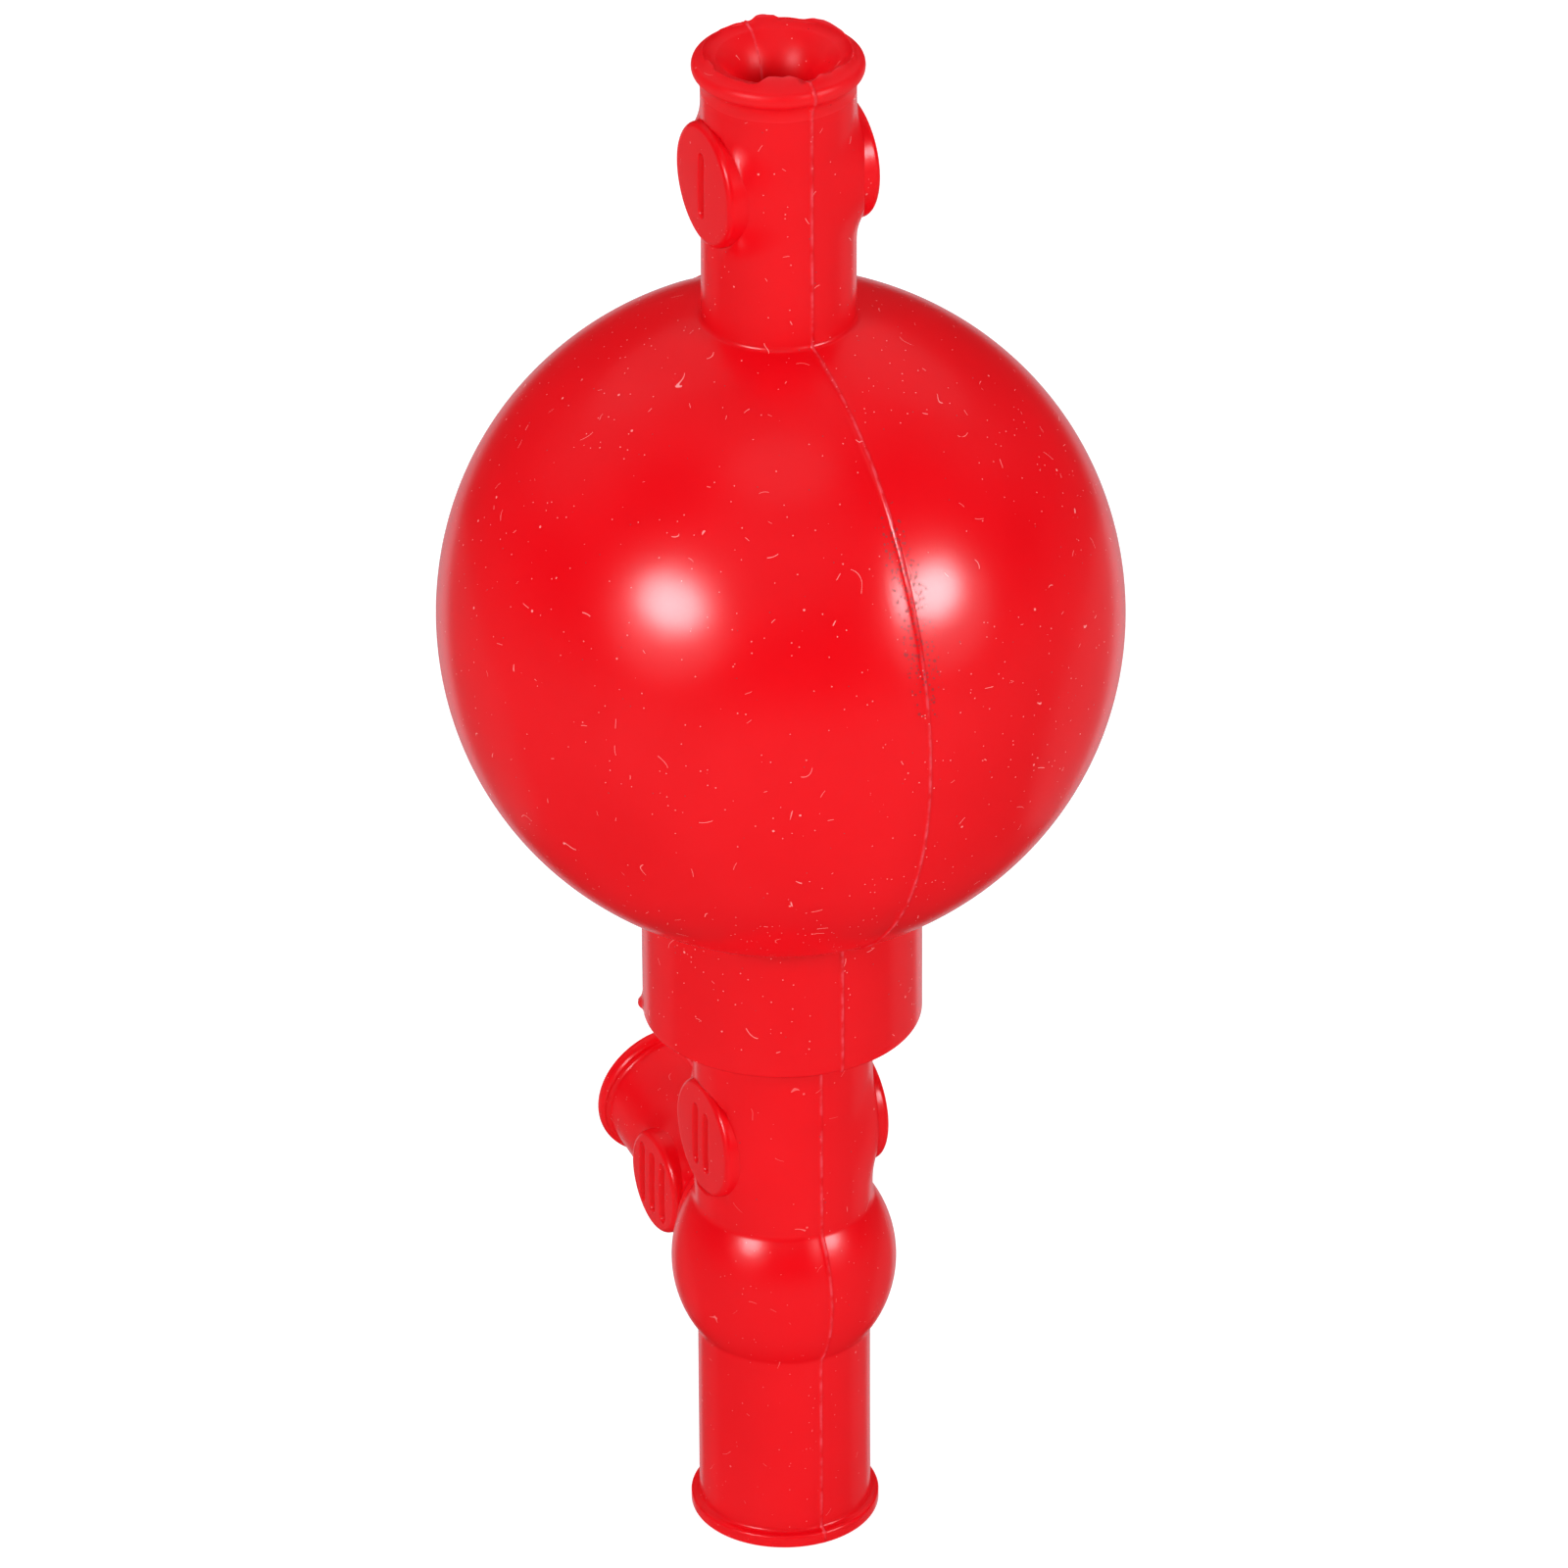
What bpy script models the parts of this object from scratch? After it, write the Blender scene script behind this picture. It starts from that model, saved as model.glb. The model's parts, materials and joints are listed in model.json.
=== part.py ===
"""Rubber bulb pump for filling pipettes, with three ball-and-tube pinch valves.

A hollow bulb carries the air valve in its top neck. The valve body is a second moulding, pushed into
the bulb's collar: it holds the suction valve, a small safety bulb, a side arm with the empty valve,
and the sleeve that grips a pipette. Each valve is a glass ball in a narrow bore between two pads.

Frame: +Z up the pump's axis, origin at the centre of the sleeve's mouth, which is its foot.
The side arm points to -X and the pads face -Y (front) and +Y (back). Units are metres.
"""

import math

import bpy

MM = 0.001

# Driving dimensions: the bulb moulding.
BULB_R = 30.1 * MM
BULB_WALL = 2.5 * MM
BULB_Z = 92.3 * MM
NECK_R = 6.7 * MM
NECK_TOP = 146.8 * MM
RIM_R = 7.45 * MM
RIM_HEIGHT = 2.2 * MM
COLLAR_R = 12.4 * MM
COLLAR_FOOT = 52.1 * MM

# Driving dimensions: the valve body moulding.
TUBE_R = 8.0 * MM
SLEEVE_R = 7.75 * MM
FOOT_R = 8.5 * MM
FOOT_HEIGHT = 1.4 * MM
SAFETY_R = 10.1 * MM
SAFETY_WALL = 1.8 * MM
SAFETY_STRETCH = 1.06
SAFETY_Z = 26.2 * MM
PLUG_R = COLLAR_R - BULB_WALL - 0.3 * MM
PLUG_TOP = 66.0 * MM
ARM_R = 6.2 * MM
ARM_LIP_R = 6.9 * MM
ARM_REACH = 25.9 * MM
ARM_MOUTH_R = 5.4 * MM
ARM_TILT = math.radians(8.5)

# Driving dimensions: the valves.
BALL_R = 3.0 * MM
BORE_R = 2.6 * MM
SOCKET_R = 3.4 * MM
AIR_VALVE_Z = 135.7 * MM
SUCTION_VALVE_Z = 40.5 * MM
EMPTY_VALVE_REACH = 13.3 * MM
PAD_TRAVEL = 1.4 * MM

# What the moving walls of the two bulbs need.
GAP = 0.3 * MM
BULB_PRESS_R = 17.0 * MM
SAFETY_PRESS_R = 5.5 * MM

SEAT_R = BALL_R + GAP
MEMBRANE = 0.5 * MM
POCKET_FLOOR = SEAT_R + MEMBRANE
PAD_BACK = POCKET_FLOOR + GAP + PAD_TRAVEL
SEGMENTS = 32
PAST = 1.0 * MM

FRONT = -1
BACK = 1

# Each valve: name, centre on the tube's axis, pad radius, distance of the pad's face from the axis.
VALVES = {
    "air_valve": ((0, 0, AIR_VALVE_Z), 5.6 * MM, NECK_R + 0.25 * MM),
    "suction_valve": ((0, 0, SUCTION_VALVE_Z), 5.5 * MM, TUBE_R + 0.15 * MM),
    "empty_valve": (
        (
            -EMPTY_VALVE_REACH * math.cos(ARM_TILT),
            0,
            SAFETY_Z + EMPTY_VALVE_REACH * math.sin(ARM_TILT),
        ),
        4.8 * MM,
        ARM_R + 0.8 * MM,
    ),
}
ARM_TURN = (0, ARM_TILT - math.pi / 2, 0)


def clear_scene():
    for thing in list(bpy.data.objects):
        bpy.data.objects.remove(thing)


def collection(name):
    made = bpy.data.collections.new(name)
    bpy.context.scene.collection.children.link(made)
    return made


def material(name, colour, roughness):
    made = bpy.data.materials.new(name)
    made.use_nodes = True
    shader = made.node_tree.nodes["Principled BSDF"]
    shader.inputs["Base Color"].default_value = (*colour, 1)
    shader.inputs["Roughness"].default_value = roughness
    shader.inputs["Metallic"].default_value = 0
    return made


def arc(centre, radius, start, end, count, stretch=1.0):
    """Points round a centre in the profile plane, from one angle to another in degrees."""
    points = []
    for step in range(count + 1):
        angle = math.radians(start + (end - start) * step / count)
        across = centre[0] + radius * math.cos(angle)
        points.append((across, centre[1] + stretch * radius * math.sin(angle)))
    return points


def angle_at(radius, across):
    """Degrees above the horizontal at which a circle of this radius is this far from the axis."""
    return math.degrees(math.acos(across / radius))


def turned(name, profile, home, closed=True, location=(0, 0, 0), rotation=(0, 0, 0)):
    """A profile of (radius, height) points, swept round the object's own Z axis."""
    count = len(profile)
    edges = [(i, i + 1) for i in range(count - 1)]
    if closed:
        edges.append((count - 1, 0))
    mesh = bpy.data.meshes.new(name)
    mesh.from_pydata([(across, 0, height) for across, height in profile], edges, [])
    made = bpy.data.objects.new(name, mesh)
    home.objects.link(made)
    made.location = location
    made.rotation_euler = rotation
    screw = made.modifiers.new("Turn", "SCREW")
    screw.axis = "Z"
    screw.angle = math.tau
    screw.steps = SEGMENTS
    screw.render_steps = SEGMENTS
    screw.use_merge_vertices = True
    screw.merge_threshold = 0.00001
    screw.use_smooth_shade = True
    return made


def drum(name, radius, near, far, home, centre):
    """A cylinder along Y, from one distance in front of or behind the centre to another."""
    bpy.ops.mesh.primitive_cylinder_add(
        vertices=SEGMENTS,
        radius=radius,
        depth=abs(far - near),
        location=(centre[0], centre[1] + (near + far) / 2, centre[2]),
        rotation=(math.pi / 2, math.pi / SEGMENTS, 0),
    )
    made = bpy.context.object
    made.name = name
    move_to(made, home)
    return made


def move_to(thing, home):
    for old in list(thing.users_collection):
        old.objects.unlink(thing)
    home.objects.link(thing)


def combine(part, cutter, operation):
    modifier = part.modifiers.new(cutter.name, "BOOLEAN")
    modifier.operation = operation
    modifier.object = cutter
    cutter.hide_render = True
    cutter.display_type = "WIRE"


def shade(part, coat):
    """Gives a part its material, after whatever its modifiers carry over from the cutters."""
    part.data.materials.clear()
    part.data.materials.append(coat)


def ball_seat(height, count=5):
    """The bore's outline past a ball: the narrow bore opens into a round seat and closes again."""
    open_at = angle_at(SEAT_R, BORE_R)
    return arc((0, height), SEAT_R, open_at, -open_at, count)


def rim_outline():
    """The rounded bead at the neck's mouth, from its flat top to the neck's side."""
    corner = 0.45 * MM
    top = arc((RIM_R - corner, NECK_TOP - corner), corner, 90, 0, 3)
    foot = arc((RIM_R - corner, NECK_TOP - RIM_HEIGHT + corner), corner, 0, -90, 3)
    return top + foot


def neck_bore():
    """The inside of the neck from the bulb's hollow up to the mouth, as points going up."""
    funnel = [
        (3.3 * MM, NECK_TOP - 3.6 * MM),
        (4.4 * MM, NECK_TOP - 1.6 * MM),
        (6.3 * MM, NECK_TOP),
    ]
    return [*reversed(ball_seat(AIR_VALVE_Z)), (BORE_R, NECK_TOP - 5.6 * MM), *funnel]


def bulb_outline():
    inner_r = BULB_R - BULB_WALL
    collar_bore = COLLAR_R - BULB_WALL
    centre = (0, BULB_Z)
    outside = arc(centre, BULB_R, angle_at(BULB_R, NECK_R), -angle_at(BULB_R, COLLAR_R), 16)
    inside = arc(centre, inner_r, -angle_at(inner_r, collar_bore), angle_at(inner_r, BORE_R), 14)
    collar = [(COLLAR_R, COLLAR_FOOT), (collar_bore, COLLAR_FOOT)]
    return [*rim_outline(), (NECK_R, NECK_TOP - RIM_HEIGHT), *outside, *collar, *inside, *neck_bore()]


def cap_outline(outer_r, wall, rim_r):
    """A round piece of a hollow ball, with a straight rim so that it can slide along its own axis."""
    inner_r = outer_r - wall
    outside = arc((0, 0), outer_r, 90, angle_at(outer_r, rim_r), 6)
    inside = arc((0, 0), inner_r, angle_at(inner_r, rim_r), 90, 6)
    outside[0] = (0, outer_r)
    inside[-1] = (0, inner_r)
    return outside + inside


def body_outline():
    """The outside of the valve body as one solid: plug, tube, safety bulb, sleeve and foot."""
    chamfer = 0.6 * MM
    shoulder = COLLAR_FOOT + 0.5 * MM
    upper = angle_at(SAFETY_R, TUBE_R)
    lower = angle_at(SAFETY_R, SLEEVE_R)
    plug = [(0, PLUG_TOP), (PLUG_R - chamfer, PLUG_TOP), (PLUG_R, PLUG_TOP - chamfer), (PLUG_R, shoulder)]
    safety = arc((0, SAFETY_Z), SAFETY_R, upper, -lower, 8, SAFETY_STRETCH)
    foot = [
        (SLEEVE_R, FOOT_HEIGHT),
        (FOOT_R, FOOT_HEIGHT - GAP),
        (FOOT_R, GAP),
        (FOOT_R - GAP, 0),
        (0, 0),
    ]
    return [*plug, (TUBE_R, shoulder), *safety, *foot]


def body_bore():
    """The passage through the valve body: suction valve, safety chamber and pipette socket."""
    chamber_r = SAFETY_R - SAFETY_WALL
    chamber = arc(
        (0, SAFETY_Z),
        chamber_r,
        angle_at(chamber_r, BORE_R),
        -angle_at(chamber_r, SOCKET_R),
        8,
        SAFETY_STRETCH,
    )
    socket = [(SOCKET_R, 5.0 * MM), (5.2 * MM, 0), (5.2 * MM, -PAST), (0, -PAST)]
    return [(0, PLUG_TOP + PAST), (BORE_R, PLUG_TOP + PAST), *ball_seat(SUCTION_VALVE_Z), *chamber, *socket]


def arm_outline():
    lip = 1.5 * MM
    root = 3.0 * MM
    return [
        (0, ARM_REACH),
        (ARM_LIP_R - GAP, ARM_REACH),
        (ARM_LIP_R, ARM_REACH - GAP),
        (ARM_LIP_R, ARM_REACH - lip + GAP),
        (ARM_R, ARM_REACH - lip),
        (ARM_R, root),
        (0, root),
    ]


def arm_bore():
    """The passage out through the arm, from inside the safety chamber to the arm's mouth."""
    start = 5.0 * MM
    funnel = [
        (0, ARM_REACH + PAST),
        (ARM_MOUTH_R, ARM_REACH + PAST),
        (ARM_MOUTH_R, ARM_REACH),
        (3.3 * MM, ARM_REACH - 4.0 * MM),
        (BORE_R, ARM_REACH - 5.5 * MM),
    ]
    return [*funnel, *ball_seat(EMPTY_VALVE_REACH), (BORE_R, start), (0, start)]


def cut_pockets(part, valve, cutters):
    """Room behind both pads of a valve for them to be pinched towards its ball."""
    centre, pad_r, face = VALVES[valve]
    for side in (FRONT, BACK):
        name = f"{valve}_pocket_{side}"
        far = side * (face + PAST)
        combine(part, drum(name, pad_r + GAP, side * POCKET_FLOOR, far, cutters, centre), "DIFFERENCE")


def make_bulb(parts, cutters, rubber):
    bulb = turned("squeeze_bulb", bulb_outline(), parts)
    reach = BULB_R + PAST
    centre = (0, 0, BULB_Z)
    window = drum("bulb_window", BULB_PRESS_R + GAP, -reach, reach, cutters, centre)
    combine(bulb, window, "DIFFERENCE")
    cut_pockets(bulb, "air_valve", cutters)
    shade(bulb, rubber)


def make_valve_body(parts, cutters, rubber):
    body = turned("valve_body", body_outline(), parts, closed=False)
    centre = (0, 0, SAFETY_Z)
    arm = turned("arm_solid", arm_outline(), cutters, False, centre, ARM_TURN)
    combine(body, arm, "UNION")
    combine(body, turned("body_bore", body_bore(), cutters, closed=False), "DIFFERENCE")
    bore = turned("arm_bore", arm_bore(), cutters, False, centre, ARM_TURN)
    combine(body, bore, "DIFFERENCE")
    reach = SAFETY_R + PAST
    window = drum("safety_window", SAFETY_PRESS_R + GAP, -reach, reach, cutters, centre)
    combine(body, window, "DIFFERENCE")
    cut_pockets(body, "suction_valve", cutters)
    cut_pockets(body, "empty_valve", cutters)
    shade(body, rubber)


def make_press_walls(stem, outer_r, wall, rim_r, height, parts, rubber):
    """The two walls of a hollow bulb that a hand presses in, each turned about the Y axis."""
    for side, word in ((FRONT, "front"), (BACK, "back")):
        outline = cap_outline(outer_r, wall, rim_r)
        turn = (-side * math.pi / 2, 0, 0)
        cap = turned(f"{stem}_{word}", outline, parts, False, (0, 0, height), turn)
        shade(cap, rubber)


def make_valve(valve, parts, rubber, glass):
    centre, pad_r, face = VALVES[valve]
    bpy.ops.mesh.primitive_uv_sphere_add(segments=20, ring_count=12, radius=BALL_R, location=centre)
    ball = bpy.context.object
    ball.name = f"{valve}_ball"
    ball.data.shade_smooth()
    move_to(ball, parts)
    shade(ball, glass)
    for side, word in ((FRONT, "front"), (BACK, "back")):
        pad = drum(f"{valve}_pad_{word}", pad_r, side * PAD_BACK, side * face, parts, centre)
        edge = pad.modifiers.new("Edge", "BEVEL")
        edge.width = 0.35 * MM
        edge.segments = 2
        edge.limit_method = "ANGLE"
        pad.data.shade_smooth()
        pad.data.set_sharp_from_angle(angle=math.radians(40))
        shade(pad, rubber)


def main():
    clear_scene()
    parts = collection("pipette_bulb_pump")
    cutters = collection("cutters")
    rubber = material("red_rubber", (0.80, 0.012, 0.018), 0.38)
    glass = material("clear_glass", (0.86, 0.92, 0.90), 0.05)
    make_bulb(parts, cutters, rubber)
    make_press_walls("bulb_wall", BULB_R, BULB_WALL, BULB_PRESS_R, BULB_Z, parts, rubber)
    make_valve_body(parts, cutters, rubber)
    make_press_walls("safety_wall", SAFETY_R, SAFETY_WALL, SAFETY_PRESS_R, SAFETY_Z, parts, rubber)
    for valve in VALVES:
        make_valve(valve, parts, rubber, glass)


main()
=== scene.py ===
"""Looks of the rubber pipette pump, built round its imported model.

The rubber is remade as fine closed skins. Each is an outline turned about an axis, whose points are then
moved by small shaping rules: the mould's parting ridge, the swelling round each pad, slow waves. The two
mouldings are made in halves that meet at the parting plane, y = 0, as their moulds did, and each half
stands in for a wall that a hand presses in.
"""

import json
import math

import bpy
import numpy as np
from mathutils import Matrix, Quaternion, Vector

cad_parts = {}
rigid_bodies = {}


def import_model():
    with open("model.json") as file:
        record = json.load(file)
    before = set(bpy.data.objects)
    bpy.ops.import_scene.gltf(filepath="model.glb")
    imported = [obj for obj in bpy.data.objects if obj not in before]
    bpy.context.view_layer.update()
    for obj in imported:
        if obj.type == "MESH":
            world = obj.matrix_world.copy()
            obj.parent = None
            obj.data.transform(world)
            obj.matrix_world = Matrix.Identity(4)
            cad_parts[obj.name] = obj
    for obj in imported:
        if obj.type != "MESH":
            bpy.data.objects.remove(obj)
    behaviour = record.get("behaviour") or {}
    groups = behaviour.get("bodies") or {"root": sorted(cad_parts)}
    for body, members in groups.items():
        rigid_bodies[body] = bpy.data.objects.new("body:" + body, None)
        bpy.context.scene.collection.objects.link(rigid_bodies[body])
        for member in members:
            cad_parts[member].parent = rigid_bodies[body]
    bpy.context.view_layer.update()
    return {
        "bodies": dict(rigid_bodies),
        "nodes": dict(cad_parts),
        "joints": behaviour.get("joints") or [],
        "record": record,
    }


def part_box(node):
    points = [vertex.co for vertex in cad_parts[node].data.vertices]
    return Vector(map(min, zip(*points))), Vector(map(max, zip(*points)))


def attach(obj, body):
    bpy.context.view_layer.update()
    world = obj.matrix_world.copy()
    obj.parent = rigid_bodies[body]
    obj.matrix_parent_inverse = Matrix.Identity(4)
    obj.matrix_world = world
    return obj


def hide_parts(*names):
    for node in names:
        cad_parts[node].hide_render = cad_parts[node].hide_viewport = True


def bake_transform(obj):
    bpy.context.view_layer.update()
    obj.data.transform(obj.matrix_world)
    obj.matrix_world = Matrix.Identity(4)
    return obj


MM = 0.001
PUMP = "pump"

# The bulb moulding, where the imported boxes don't give it.
NECK_R = 6.7 * MM
NECK_FILLET = 0.45 * MM
RIM_R = 7.45 * MM
RIM_BEAD_R = 0.58 * MM
RIM_BEAD_STRETCH = 1.4
RIM_HEIGHT = 3.3 * MM
RIM_HOLLOW_R = 2.8 * MM
MOUTH_R = 6.45 * MM
MOUTH_EDGE = 0.06 * MM
FUNNEL_R = 5.9 * MM
FUNNEL_FOOT_R = 3.1 * MM
FUNNEL_DEPTH = 4.9 * MM
THROAT_R = 2.8 * MM
THROAT_DEPTH = 6.6 * MM
BORE_R = 2.6 * MM
BULB_WALL = 2.5 * MM
COLLAR_R = 12.4 * MM
COLLAR_FILLET = 0.5 * MM
COLLAR_CORNER = 0.45 * MM
COLLAR_GAP = 0.3 * MM

# The valve body moulding.
PLUG_R = 9.6 * MM
PLUG_CHAMFER = 0.6 * MM
PLUG_SHOULDER = 0.5 * MM
TUBE_R = 8.0 * MM
SAFETY_FILLET = 1.3 * MM
SAFETY_STRETCH = 1.06
SLEEVE_R = 7.75 * MM
SOCKET_R = 3.4 * MM
SOCKET_FLARE = 5.0 * MM
FLANGE_R = 8.5 * MM
FLANGE = 1.35 * MM
ARM_R = 6.2 * MM
ARM_LIP_R = 6.9 * MM
ARM_LIP = 1.6 * MM
ARM_REACH = 25.9 * MM
ARM_TILT = math.radians(8.5)
ARM_MOUTH_R = 5.4 * MM
ARM_ROOT = 6.5 * MM
ARM_FUNNEL_R = 5.6 * MM
ARM_FUNNEL_FOOT_R = 3.0 * MM
ARM_FUNNEL_DEPTH = 4.8 * MM
ARM_FLARE = 0.75 * MM
ARM_FLARE_REACH = 1.5 * MM

# The chamber is kept smaller than the imported one, so that the pressed walls have rubber to dimple into.
CHAMBER_R = 5.4 * MM

# Flash round the mouth: where each torn piece is and how far it spreads to either side, both in degrees
# from +X towards the back, then how far it rises and how far it reaches in over the mouth.
MOUTH_FLASH = (
    (-21, 19, 0.16 * MM, 1.1 * MM),
    (-92, 9, 0.2 * MM, 0.2 * MM),
    (22, 18, 0.1 * MM, 0.3 * MM),
    (112, 20, 0.26 * MM, 0.0),
    (165, 10, 0.3 * MM, 0.0),
)

# A nub of flash on the collar: its angle, height, reach and how far it stands out.
COLLAR_NUB = (-115, 52.7 * MM, 0.55 * MM, 0.5 * MM)

# The mould's parting ridge, and how the columns of points stand: their distances from it beside it, the
# most that those take up in radians, and how many cover the rest of a half.
RIDGE_HEIGHT = 0.13 * MM
RIDGE_WIDTH = 0.13 * MM
RIDGE_STEP = 0.07 * MM
NEAR_SEAM = np.array([0, 0.05, 0.1, 0.16, 0.24, 0.36, 0.55, 0.9]) * MM
NEAR_SEAM_TURN = 0.35
HALF_COLUMNS = 112

FRONT = -1
BACK = 1
SIDES = ((FRONT, "front"), (BACK, "back"))

# Each valve: how many tally grooves number its pads, how far round them the wall swells to meet them, and
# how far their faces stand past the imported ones.
VALVES = {
    "air_valve": (1, 1.8 * MM, 0.35 * MM),
    "suction_valve": (2, 2.4 * MM, 0.0),
    "empty_valve": (3, 2.0 * MM, 0.0),
}
# Right beside a pad, the wall swells by this share of its way to a level this far under the pad's face.
SWELL_SHARE = 0.75
SWELL_BELOW_FACE = 0.9 * MM
PAD_EDGE = 0.6 * MM
PAD_SPREAD = 0.4 * MM
PAD_FOOT = 4.2 * MM
PAD_HOLLOW_R = 4.3 * MM
PAD_DOME = 0.12 * MM
PAD_COLUMNS = 220
# Room left under a pad at the end of its pinch, to the skin's pocket and to the valve's ball.
POCKET_ROOM = 0.35 * MM
BALL_ROOM = 0.1 * MM
GROOVE_DEPTH = 0.68 * MM
GROOVE_HALF_WIDTH = 0.62 * MM
GROOVE_HALF_LENGTH = 2.5 * MM
GROOVE_SPACING = 2.1 * MM

CAMERA_AZIMUTH = 65.0
CAMERA_ELEVATION = 30.1
CAMERA_DISTANCE = 1.091
CAMERA_LENS = 285.0
CAMERA_ROLL = math.radians(-0.28)
# The point in the middle of the view: how far it is under the bulb's centre and to the right of the axis.
TARGET_DROP = 17.33 * MM
TARGET_RIGHT = 0.23 * MM

# The studio's lights: angle from the camera, elevation, distance, size, radiance, and whether it is seen in
# reflections and whether it lights plain surfaces. The glows stand for far parts of the floor, which only
# show as reflections along the edges.
LIGHTS = {
    "left_box": (-40.4, 26.7, 1.0, (0.38, 0.27), 19.5, True, True),
    "right_box": (57.5, 24, 1.0, (0.34, 0.26), 20.5, True, True),
    "left_spill": (-40, 21, 1.1, (0.8, 0.7), 0.8, True, False),
    "right_spill": (57, 18, 1.1, (0.8, 0.7), 0.8, True, False),
    "overhead_box": (0, 77, 1.2, (0.7, 0.5), 0.3, True, False),
    "back_sheen": (180, 48, 1.6, (3.0, 1.2), 0.17, True, False),
    "front_fill": (0, 50, 1.5, (1.4, 1.4), 0.95, False, True),
    "top_fill": (180, 80, 1.5, (1.6, 1.6), 1.1, False, True),
    "left_fill": (-120, 35, 1.5, (1.2, 1.2), 1.7, False, True),
    "back_fill": (180, 35, 1.5, (1.2, 1.2), 1.5, False, True),
    "right_fill": (130, 35, 1.5, (1.2, 1.2), 1.3, False, True),
    "back_glow": (180, -28, 2.0, (2.6, 1.2), 0.45, True, False),
    "left_glow": (-130, -30, 2.0, (1.9, 1.3), 0.12, True, False),
    "right_glow": (130, -30, 2.0, (1.9, 1.3), 0.16, True, False),
}
LIGHT_COLOUR = (0.98, 0.94, 1.0)
STUDIO_REACH = 5.0
STUDIO_SIDES = 64
FLOOR_COLOUR = (0.3, 0.3, 0.3)
FLOOR_GLOW = 0.86
BACKDROP_GLOW = 0.95
WORLD_GLOW = 0.03

# Each kind of rubber: its least and most roughness, its specular level, and how strongly its dust shows.
GLOSSY_RUBBER = ((0.18, 0.26), 0.5, 0.75)
SATIN_RUBBER = ((0.20, 0.27), 0.35, 0.28)
DULL_RUBBER = ((0.34, 0.46), 0.25, 0.6)

# The colours of the rubber and the glass, as deep and bright limits, and of the rubber's marks and dust.
RUBBER_COLOURS = ((0.74, 0.0010, 0.005), (0.79, 0.0014, 0.006))
FLASH_COLOUR = (0.95, 0.16, 0.20)
# Painted shade: the pitted spots and the dark specks are darkened to this colour, as shade in a hollow
# would.
PIT_SHADE_COLOUR = (0.24, 0.0, 0.002)
DUST_COLOUR = (0.95, 0.42, 0.40)
GLASS_COLOURS = ((0.84, 0.92, 0.89), (0.90, 0.95, 0.93))

# The pitted spots beside the parting line, whose darker colour is painted shade: the height of their middle
# over the bulb's centre, how far up and down from it they are thickest, and how far they go.
PITS_ABOVE = 13 * MM
PITS_THICK = 4 * MM
PITS_REACH = 9 * MM


# ---------------------------------------------------------------- outlines, as (radius, height) points


def arc(centre, radius, start, end, step, stretch=1.0):
    """Points round a centre from one angle to another, in degrees from the radius direction."""
    count = max(2, math.ceil(abs(math.radians(end - start)) * radius / step))
    angles = np.radians(np.linspace(start, end, count + 1))
    return [(centre[0] + radius * math.cos(a), centre[1] + stretch * radius * math.sin(a)) for a in angles]


def run(points, step):
    """The same open outline, with points added along its straight stretches."""
    found = [points[0]]
    for (r0, z0), (r1, z1) in zip(points, points[1:]):
        count = max(1, math.ceil(math.hypot(r1 - r0, z1 - z0) / step))
        for i in range(1, count + 1):
            share = i / count
            found.append((r0 + (r1 - r0) * share, z0 + (z1 - z0) * share))
    return found


def joined(*stretches):
    """Stretches of outline end to end, without the points that they repeat."""
    found = [stretches[0][0]]
    for point in (p for stretch in stretches for p in stretch):
        if math.dist(point, found[-1]) > 0.01 * MM:
            found.append(point)
    return found


def angle_at(radius, across):
    """The angle, in degrees, at which a circle centred on the axis is this far from the axis."""
    return math.degrees(math.acos(across / radius))


def ball_fillet(ball_r, centre_z, tube_r, fillet, end, stretch=1.0):
    """A fillet between a ball and a tube on its axis. end is 1 for a tube above the ball, and -1 below.
    It gives the ball's angle where the fillet starts, and the points from the ball to the tube."""
    rise = math.sqrt((ball_r + fillet) ** 2 - (tube_r + fillet) ** 2)
    slope = math.degrees(math.atan2(rise, tube_r + fillet))
    points = arc((tube_r + fillet, 0), fillet, end * (180 + slope), end * 180, 0.1 * MM)
    return end * slope, [(r, centre_z + stretch * (end * rise + z)) for r, z in points]


# ---------------------------------------------------------------- grids of points, rows by columns


def smooth(low, high, value):
    """0 up to low, 1 from high on, and an S-shaped rise between."""
    share = np.clip((value - low) / (high - low), 0, 1)
    return share * share * (3 - 2 * share)


def half_turn_angles(radius, start):
    """Angles over half a turn, close together next to the parting plane at both of its ends."""
    reach = min(NEAR_SEAM[-1] / radius, NEAR_SEAM_TURN)
    near = NEAR_SEAM * (reach / NEAR_SEAM[-1])
    middle = np.linspace(reach, math.pi - reach, HALF_COLUMNS)[1:-1]
    return start + np.concatenate([near, middle, math.pi - near[::-1]])


def turned(outline, side=None):
    """The outline turned about Z: half a turn in front or behind, or a whole one."""
    rows = []
    for radius, height in outline:
        if side is None:
            half = half_turn_angles(radius, 0)[:-1]
            angles = np.concatenate([half, half + math.pi])
        else:
            angles = half_turn_angles(radius, 0 if side == BACK else math.pi)
        across = radius * np.cos(angles)
        along = radius * np.sin(angles)
        if side is not None:
            along[[0, -1]] = 0
        rows.append(np.stack([across, along, np.full(len(angles), height)], axis=-1))
    return np.array(rows)


def outward(points, whole):
    """The outward direction at each point of a turned outline, which runs up its outside."""
    if whole:
        over = np.roll(points, -1, 1) - np.roll(points, 1, 1)
    else:
        over = np.gradient(points, axis=1)
    up = np.roll(points, -1, 0) - np.roll(points, 1, 0)
    found = np.cross(over, up)
    if not whole:
        found[:, [0, -1], 1] = 0
    return found / np.maximum(np.linalg.norm(found, axis=-1, keepdims=True), 1e-15)


def first_rows(points, count):
    """1 on a grid's first rows, which are its outside, and 0 on the rest."""
    found = np.zeros(points.shape[:2])
    found[:count] = 1
    return found


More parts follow.
